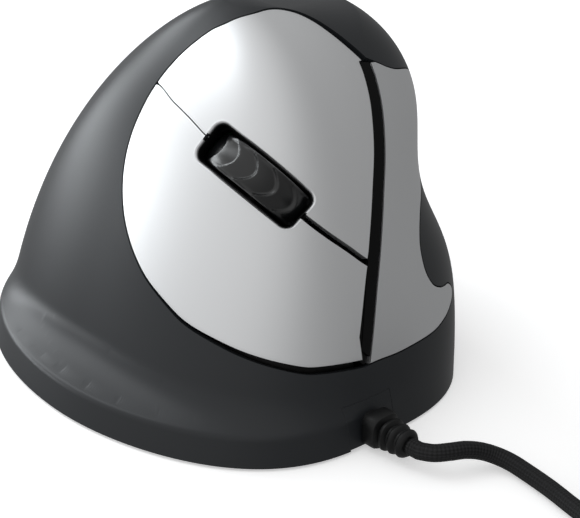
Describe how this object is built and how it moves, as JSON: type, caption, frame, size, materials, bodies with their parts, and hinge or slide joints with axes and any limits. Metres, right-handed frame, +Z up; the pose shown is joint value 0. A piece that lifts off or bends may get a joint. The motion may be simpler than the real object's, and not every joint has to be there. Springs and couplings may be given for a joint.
{
  "type": "vertical ergonomic mouse",
  "caption": "Upright right-handed wired mouse with a domed body, a little-finger lip, a thumb hollow, satin finger buttons, a sprung scroll wheel and a braided cable.",
  "frame": {"origin": "under the middle of the body box without the cable, on the plane the glide feet stand on", "axes": "+Z up, -Y towards the cable end, -X the palm and finger side, +X the thumb side"},
  "size_m": [0.1303, 0.2191, 0.0737],
  "materials": {
    "shell": "fine satin charcoal moulding",
    "silver": "satin silver paint",
    "panel": "satin silver-grey paint",
    "gloss": "gloss black",
    "dark": "matt black moulding",
    "tread": "matt black rubber",
    "sleeve": "black braid",
    "boot": "matt black rubber",
    "glide": "smooth pale glide strip",
    "steel": "plain steel",
    "board": "green solder mask",
    "chip": "black encapsulation",
    "cream": "natural moulding",
    "red": "red moulding",
    "green": "dark green moulding",
    "clear": "clear moulding",
    "gold": "gold plate"
  },
  "bodies": {
    "body": {"palm_shell": "shell", "thumb_shell": "shell", "base_plate": "dark", "glide_feet": "glide", "base_screws": "steel", "key_tray": "gloss", "hinge_pins": "steel", "thumb_panel": "panel", "cable_gland": "shell", "guide_pins": "steel", "switch_board": "board", "board_screws": "steel", "upper_switch": "dark", "lower_switch": "dark", "middle_switch": "dark", "side_board": "board", "side_screws": "steel", "forward_switch": "dark", "back_switch": "dark", "main_board": "board", "main_screws": "steel", "sensor_chip": "chip", "sensor_lens": "clear", "controller_chip": "chip", "cable_header": "cream", "ribbon_cable": "cream", "inner_lead": "sleeve", "strain_relief": "boot", "cable_lead": "sleeve", "cable_coil": "sleeve", "cable_tail": "sleeve", "coil_tie": "dark", "plug_overmould": "boot", "plug_shell": "steel", "plug_tongue": "cream", "plug_contacts": "gold"},
    "upper_key": {"upper_button": "silver"},
    "lower_key": {"lower_button": "silver"},
    "cradle": {"wheel_cradle": "dark", "encoder_body": "green"},
    "wheel": {"scroll_tyre": "tread", "scroll_hub": "dark", "encoder_rotor": "cream"},
    "forward_key": {"forward_button": "silver"},
    "back_key": {"back_button": "silver"},
    "upper_stem": {"upper_plunger": "red"},
    "lower_stem": {"lower_plunger": "red"},
    "middle_stem": {"middle_plunger": "red"},
    "forward_stem": {"forward_plunger": "red"},
    "back_stem": {"back_plunger": "red"}
  },
  "joints": [
    {"name": "upper_press", "type": "hinge", "parent": "body", "child": "upper_key", "pos_m": [-0.00059, 0.00391, 0.06115], "axis": [0.7103, -0.2433, 0.6605], "range_deg": [0, 0.66], "stiffness_Nm_per_rad": 2.4},
    {"name": "lower_press", "type": "hinge", "parent": "body", "child": "lower_key", "pos_m": [-0.01108, 0.0058, 0.04806], "axis": [0.523, -0.2589, 0.8121], "range_deg": [0, 0.66], "stiffness_Nm_per_rad": 2.4},
    {"name": "wheel_press", "type": "slide", "parent": "body", "child": "cradle", "axis": [0.632, 0.4796, -0.6087], "range_m": [0, 0.0004], "stiffness_N_per_m": 1200},
    {"name": "wheel_spin", "type": "hinge", "parent": "cradle", "child": "wheel", "pos_m": [-0.00457, -0.01641, 0.04494], "axis": [0.7348, -0.1212, 0.6674], "continuous": true},
    {"name": "forward_press", "type": "slide", "parent": "body", "child": "forward_key", "axis": [-0.9621, 0.0266, 0.2714], "range_m": [0, 0.0004], "stiffness_N_per_m": 1200},
    {"name": "back_press", "type": "slide", "parent": "body", "child": "back_key", "axis": [-0.9621, 0.0266, 0.2714], "range_m": [0, 0.0004], "stiffness_N_per_m": 1200},
    {"name": "upper_stem_slide", "type": "slide", "parent": "body", "child": "upper_stem", "axis": [0.632, 0.4796, -0.6087], "range_m": [0, 0.0005]},
    {"name": "lower_stem_slide", "type": "slide", "parent": "body", "child": "lower_stem", "axis": [0.632, 0.4796, -0.6087], "range_m": [0, 0.0005]},
    {"name": "middle_stem_slide", "type": "slide", "parent": "body", "child": "middle_stem", "axis": [0.632, 0.4796, -0.6087], "range_m": [0, 0.0005]},
    {"name": "forward_stem_slide", "type": "slide", "parent": "body", "child": "forward_stem", "axis": [-0.9621, 0.0266, 0.2714], "range_m": [0, 0.0005]},
    {"name": "back_stem_slide", "type": "slide", "parent": "body", "child": "back_stem", "axis": [-0.9621, 0.0266, 0.2714], "range_m": [0, 0.0005]}
  ],
  "couplings": [
    {"joint": "upper_stem_slide", "follows": "upper_press", "m_per_rad": 0.033793},
    {"joint": "lower_stem_slide", "follows": "lower_press", "m_per_rad": 0.032343},
    {"joint": "middle_stem_slide", "follows": "wheel_press", "ratio": 1},
    {"joint": "forward_stem_slide", "follows": "forward_press", "ratio": 1},
    {"joint": "back_stem_slide", "follows": "back_press", "ratio": 1}
  ]
}
